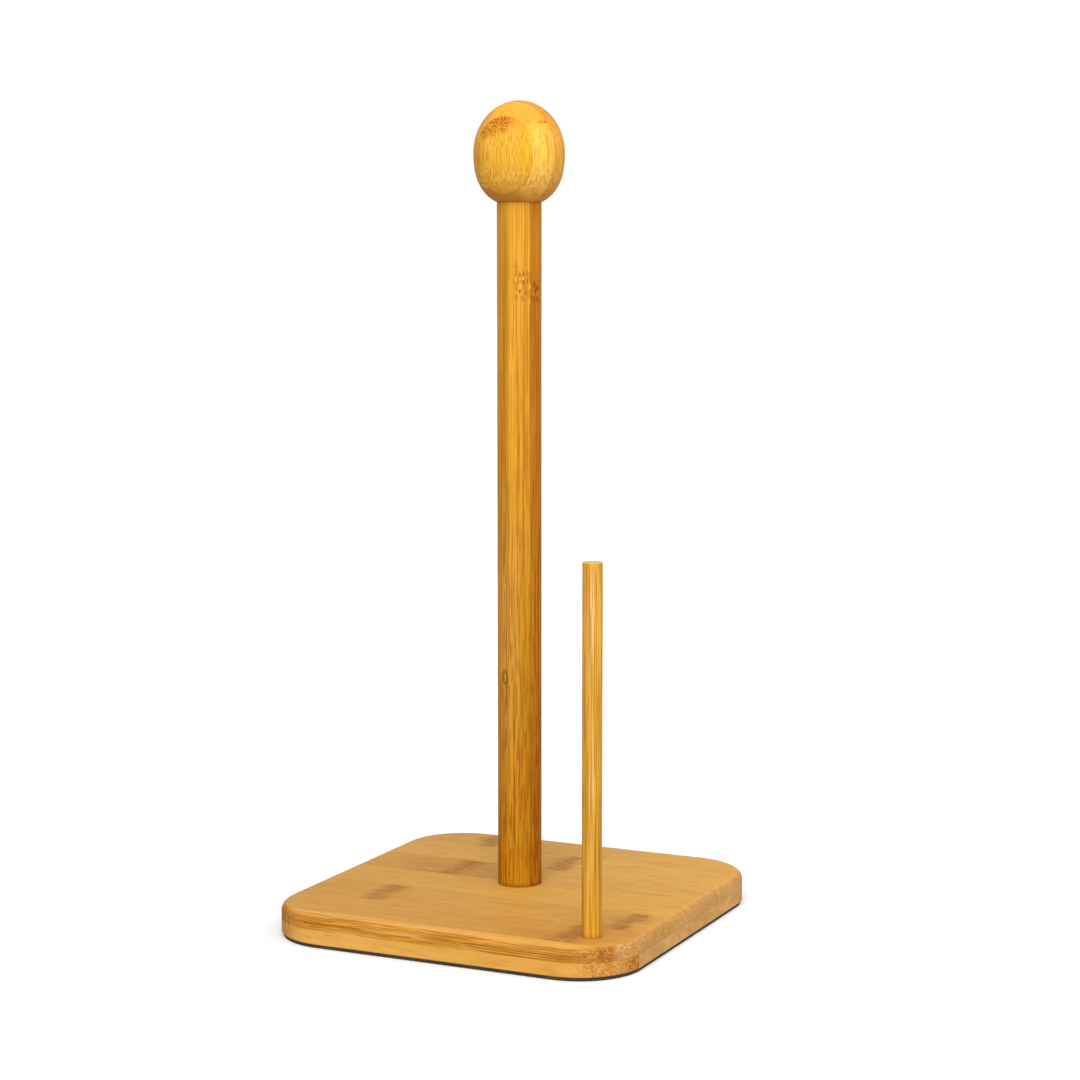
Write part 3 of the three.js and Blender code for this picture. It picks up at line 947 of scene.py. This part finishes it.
left_stave = Stave(
    "bamboo_post_1",
    seed=41.0,
    tones=Tones(215, 152, 38),
    marks=[(-7.5, 176, 3, 3.2, False)],
    joints=POST_JOINTS[:1],
)
left_stave.bud_scar(middle=-5.9, rise=87.4, half_width=0.95, half_height=2.3)
left_stave.bud_scar(middle=-5.1, rise=84.6, half_width=0.6, half_height=1.3)
middle_stave = Stave(
    "bamboo_post_2",
    seed=43.0,
    tones=Tones(227, 162, 45),
    marks=[(1.2, 247.4, 4.2, 7.0, True), (0.5, 46, 5, 3.6, False)],
    joints=POST_JOINTS,
)
# Partly painted shade: the middle stave's right side browns more towards the foot, as part of the same
# darkening.
foot_right = middle_stave.side.step(-1, 4) * middle_stave.foot
middle_stave.tint(foot_right * 0.6, middle_stave.tones.brown)
right_stave = Stave(
    "bamboo_post_3",
    seed=47.0,
    tones=Tones(197, 124, 12),
    marks=[(6.2, 244.2, 2.5, 6.0, True)],
    joints=POST_JOINTS[1:],
)
# Each stave darkens to the foot in a colour of its own: partly the cane's own tone, and partly painted
# shade of the light that falls from above.
left_stave.shaded(left_stave.foot, 0.66, 0.59, 0.06)
middle_stave.shaded(middle_stave.foot, 0.63, 0.58, 0.1)
right_stave.shaded(right_stave.foot, 0.7, 0.68, 0.0)
post_materials = [
    stave.finish(roughness=0.44) for stave in (left_stave, middle_stave, right_stave)
]
glued_up(POST_NAMES, post_shape, across_post, post_joints, post_materials)


def knob_surface(angle):
    """(radius, height) on the knob's surface, at an angle from its widest place."""
    upper = angle > 0
    exponent = KNOB_UPPER_EXPONENT if upper else KNOB_LOWER_EXPONENT
    half_height = knob_high.z - KNOB_WIDEST if upper else KNOB_LOWER_HALF
    rise = half_height * abs(math.sin(angle)) ** (2 / exponent)
    radius = KNOB_RADIUS * math.cos(angle) ** (2 / exponent)
    return radius, KNOB_WIDEST + math.copysign(rise, angle)


seat_depth = (KNOB_WIDEST - KNOB_SEAM) / KNOB_LOWER_HALF
seat_angle = -math.asin(seat_depth ** (KNOB_LOWER_EXPONENT / 2))
# Just short of the top, where a tiny flat face closes the crown.
crown_angle = math.radians(89.7)
sweep = crown_angle - seat_angle
knob_angles = [seat_angle + sweep * i / KNOB_STEPS for i in range(KNOB_STEPS + 1)]
knob_shape = turned([
    (DOWEL_BORE_RADIUS, dowel_high.z + DOWEL_BORE_SPARE_DEPTH),
    (DOWEL_BORE_RADIUS, KNOB_SEAM),
    *[knob_surface(angle) for angle in knob_angles],
], POST_AXIS)
# The layers from front to back, as arguments for layer_material.
knob_looks = (
    {
        "tones": Tones(242, 182, 54), "marks": [(-4.4, 14.0, 11.0, 9.4, 7.0, 5.8)],
        "gold": 8.0, "edge": 0.5,
    },
    {
        "tones": Tones(246, 192, 72), "marks": [(12.6, 6.5, 11.8, 2.4, 3.0, 0.8)],
        "dusk": 0.85, "edge": 0.5,
    },
    {"tones": Tones(230, 168, 56)},
    {"tones": Tones(236, 176, 58), "marks": [(6.0, -8.0, -8.0, 6.0, 9.0, 3.0)]},
    {"tones": Tones(228, 166, 50)},
)
knob_joints = joints_between(KNOB_NAMES)
glue_lines = [joint / MM - POST_AXIS.y / MM for joint in knob_joints]
knob_materials = [
    layer_material(
        f"bamboo_knob_{i + 1}", KNOB_FIRST_SEED + KNOB_SEED_STEP * i, joints=glue_lines, **look
    )
    for i, look in enumerate(knob_looks)
]
glued_up(KNOB_NAMES, knob_shape, ACROSS_Y, knob_joints, knob_materials)

rod_side = eased_side(ROD_RADIUS, rod_low.z, rod_high.z, ROD_EDGE, ROD_EDGE_STEPS)
rod_shape = turned(rod_side, ROD_AXIS, SLIM_STEPS)
put("side_rod", mesh_of(rod_shape), rod_material())

# ---------------------------------------------------------------- dowel and fasteners

dowel_radius = (dowel_high.x - dowel_low.x) / 2


def fluted(radius, height, angle):
    """A shape for turned() that cuts flutes along the dowel between its chamfers."""
    between_chamfers = dowel_low.z + DOWEL_CHAMFER < height < dowel_high.z - DOWEL_CHAMFER
    if not between_chamfers:
        return radius
    return radius - FLUTE_DEPTH * max(0.0, math.cos(FLUTES * angle)) ** 2


flutes_low = dowel_low.z + 2 * DOWEL_CHAMFER
flute_rise = (dowel_high.z - dowel_low.z - 4 * DOWEL_CHAMFER) / FLUTE_RISES
dowel_shape = turned(
    [
        (dowel_radius - DOWEL_CHAMFER, dowel_low.z),
        (dowel_radius, dowel_low.z + DOWEL_CHAMFER),
        *[(dowel_radius, flutes_low + flute_rise * i) for i in range(FLUTE_RISES + 1)],
        (dowel_radius, dowel_high.z - DOWEL_CHAMFER),
        (dowel_radius - DOWEL_CHAMFER, dowel_high.z),
    ],
    POST_AXIS, FLUTED_STEPS, fluted,
)
put("knob_dowel", mesh_of(dowel_shape), dowel_material())

zinc = zinc_material("zinc_turned", mark_height=0.25)
washer_radius = (washer_high.x - washer_low.x) / 2
washer_side = eased_side(
    washer_radius, washer_low.z, washer_high.z, WASHER_EDGE, WASHER_EDGE_STEPS
)
washer_shape = turned(washer_side, POST_AXIS, SLIM_STEPS)
bore_top = washer_high.z + HOLE_OVERSHOOT
washer_bore = (POST_AXIS.x, POST_AXIS.y, WASHER_BORE_RADIUS, -HOLE_OVERSHOOT, bore_top)
put("bolt_washer", carved(mesh_of(washer_shape), [washer_bore]), zinc)


def thread(root, crest, pitch, bottom, top):
    """A shape for turned() that winds a thread between two radii around a shank from bottom to top."""
    def shape(radius, height, angle):
        if not bottom < height < top:
            return radius
        turn = (height / pitch - angle / (2 * math.pi)) % 1
        ridge = 1 - abs(2 * turn - 1)
        fade = min(1.0, (height - bottom) / pitch, (top - height) / pitch)
        return root + (crest - root) * ridge * fade
    return shape


def shank(radius, bottom, top, pitch):
    """Profile points up a shank, close enough together for its thread."""
    count = round((top - bottom) / pitch * RISES_PER_THREAD)
    heights = [bottom + (top - bottom) * i / count for i in range(count)]
    return [(radius, height) for height in (*heights, top)]


insert_radius = (insert_high.x - insert_low.x) / 2
insert_shape = turned(
    shank(INSERT_BODY_RADIUS, insert_low.z, insert_high.z, INSERT_THREAD_PITCH),
    POST_AXIS, THREADED_STEPS,
    thread(INSERT_BODY_RADIUS, insert_radius, INSERT_THREAD_PITCH, insert_low.z, insert_high.z),
)
insert_bore = (POST_AXIS.x, POST_AXIS.y, INSERT_INNER_RADIUS, 0, insert_high.z + HOLE_OVERSHOOT)
insert_mesh = carved(mesh_of(insert_shape), [insert_bore])
insert_zinc = zinc_material("zinc_insert", mark_height=0.5)
put("threaded_insert", insert_mesh, insert_zinc)

head_radius = (bolt_high.x - bolt_low.x) / 2
head_top = bolt_low.z + BOLT_HEAD_HEIGHT
crown_middle = (head_radius - BOLT_HEAD_CROWN, bolt_low.z + BOLT_HEAD_CROWN)
rim_middle = (head_radius - BOLT_HEAD_EDGE, head_top - BOLT_HEAD_EDGE)
thread_end = bolt_high.z - BOLT_END_CHAMFER
bolt_shape = turned(
    [
        *arc(*crown_middle, BOLT_HEAD_CROWN, -90, 0, BOLT_CROWN_STEPS),
        *arc(*rim_middle, BOLT_HEAD_EDGE, 0, 90, BOLT_HEAD_EDGE_STEPS),
        *shank(BOLT_RADIUS, head_top, thread_end, BOLT_THREAD_PITCH),
        (BOLT_RADIUS - BOLT_END_CHAMFER, bolt_high.z),
    ],
    POST_AXIS, THREADED_STEPS,
    thread(BOLT_RADIUS - BOLT_THREAD_DEPTH, BOLT_RADIUS, BOLT_THREAD_PITCH, head_top, thread_end),
)
hex_radius = HEX_KEY_WIDTH / math.sqrt(3)
hex_bottom = bolt_low.z - HOLE_OVERSHOOT
hex_top = bolt_low.z + HEX_SOCKET_DEPTH
hex_socket = (POST_AXIS.x, POST_AXIS.y, hex_radius, hex_bottom, hex_top, 6)
put("base_bolt", carved(mesh_of(bolt_shape), [hex_socket]), zinc)

# ---------------------------------------------------------------- stage, light and camera

FLOOR_REACH = 6.0
FLOOR_WHITE = (0.93, 0.94, 0.96, 1)
FLOOR_GLOW = 0.07
# Just under the pad, so that the two faces don't lie in one plane.
FLOOR_DROP = 0.02 * MM
floor_corners = [
    (side_x * FLOOR_REACH, side_y * FLOOR_REACH, 0)
    for side_x, side_y in ((-1, -1), (1, -1), (1, 1), (-1, 1))
]
floor_mesh = mesh_of((floor_corners, [(0, 1, 2, 3)]))
floor = bpy.data.objects.new("floor", floor_mesh)
floor_material = bpy.data.materials.new("floor")
floor_material.use_nodes = True
floor_shader = floor_material.node_tree.nodes["Principled BSDF"]
floor_shader.inputs["Base Color"].default_value = FLOOR_WHITE
floor_shader.inputs["Roughness"].default_value = 0.9
floor_shader.inputs["Specular IOR Level"].default_value = 0.0
floor_shader.inputs["Emission Color"].default_value = FLOOR_WHITE
floor_shader.inputs["Emission Strength"].default_value = FLOOR_GLOW
floor_mesh.materials.append(floor_material)
bpy.context.scene.collection.objects.link(floor)
floor.location.z = pad_low.z - FLOOR_DROP
# The floor throws no light back up on the stand, as if it were lit apart from it.
floor.visible_diffuse = False
floor.visible_glossy = False

# The surroundings light the stand more from above than from below, and look plain white themselves.
SKY_ABOVE = 0.62
SKY_BELOW = 0.42
SKY_BLEND = 0.5
world = bpy.data.worlds.new("studio")
bpy.context.scene.world = world
world.use_nodes = True
sky_nodes = world.node_tree.nodes
sky_links = world.node_tree.links
direction = sky_nodes.new("ShaderNodeTexCoord")
upward = sky_nodes.new("ShaderNodeSeparateXYZ")
sky_links.new(direction.outputs["Generated"], upward.inputs[0])
ramp = sky_nodes.new("ShaderNodeMapRange")
ramp.interpolation_type = "SMOOTHSTEP"
ramp.inputs["From Min"].default_value = -SKY_BLEND
ramp.inputs["From Max"].default_value = SKY_BLEND
ramp.inputs["To Min"].default_value = SKY_BELOW
ramp.inputs["To Max"].default_value = SKY_ABOVE
sky_links.new(upward.outputs["Z"], ramp.inputs["Value"])
light_path = sky_nodes.new("ShaderNodeLightPath")
seen = sky_nodes.new("ShaderNodeMath")
seen.operation = "MAXIMUM"
sky_links.new(ramp.outputs["Result"], seen.inputs[0])
sky_links.new(light_path.outputs["Is Camera Ray"], seen.inputs[1])
sky_nodes["Background"].inputs["Color"].default_value = (1, 1, 1, 1)
sky_links.new(seen.outputs[0], sky_nodes["Background"].inputs["Strength"])


def towards(azimuth, elevation):
    """The direction out from the stand at an azimuth and an elevation, in degrees.

    Azimuth 0 is the -Y side and 90 the +X side.
    """
    turn, rise = math.radians(azimuth), math.radians(elevation)
    level = math.cos(rise)
    return Vector((math.sin(turn) * level, -math.cos(turn) * level, math.sin(rise)))


def add_sun(name, azimuth, elevation, softness, strength):
    """A soft sun from a direction. Angles are in degrees."""
    data = bpy.data.lights.new(name, "SUN")
    data.angle = math.radians(softness)
    data.energy = strength
    light = bpy.data.objects.new(name, data)
    light.rotation_mode = "QUATERNION"
    light.rotation_quaternion = (-towards(azimuth, elevation)).to_track_quat("-Z", "Y")
    bpy.context.scene.collection.objects.link(light)


add_sun("key", azimuth=20, elevation=36, softness=50, strength=2.3)
add_sun("right_fill", azimuth=100, elevation=25, softness=60, strength=0.8)

CAMERA_TARGET = Vector((8.6, 4.0, 157.0)) * MM
CAMERA_AZIMUTH = 25.16
CAMERA_ELEVATION = 6.97
CAMERA_DISTANCE = 1070.2 * MM
CAMERA_LENS = 87.65
CAMERA_SENSOR_WIDTH = 36
back = towards(CAMERA_AZIMUTH, CAMERA_ELEVATION)
camera_data = bpy.data.cameras.new("camera")
camera_data.lens = CAMERA_LENS
camera_data.sensor_width = CAMERA_SENSOR_WIDTH
camera = bpy.data.objects.new("camera", camera_data)
camera.location = CAMERA_TARGET + back * CAMERA_DISTANCE
camera.rotation_mode = "QUATERNION"
camera.rotation_quaternion = (-back).to_track_quat("-Z", "Y")
bpy.context.scene.collection.objects.link(camera)
bpy.context.scene.camera = camera
bpy.context.scene.view_settings.view_transform = "Standard"
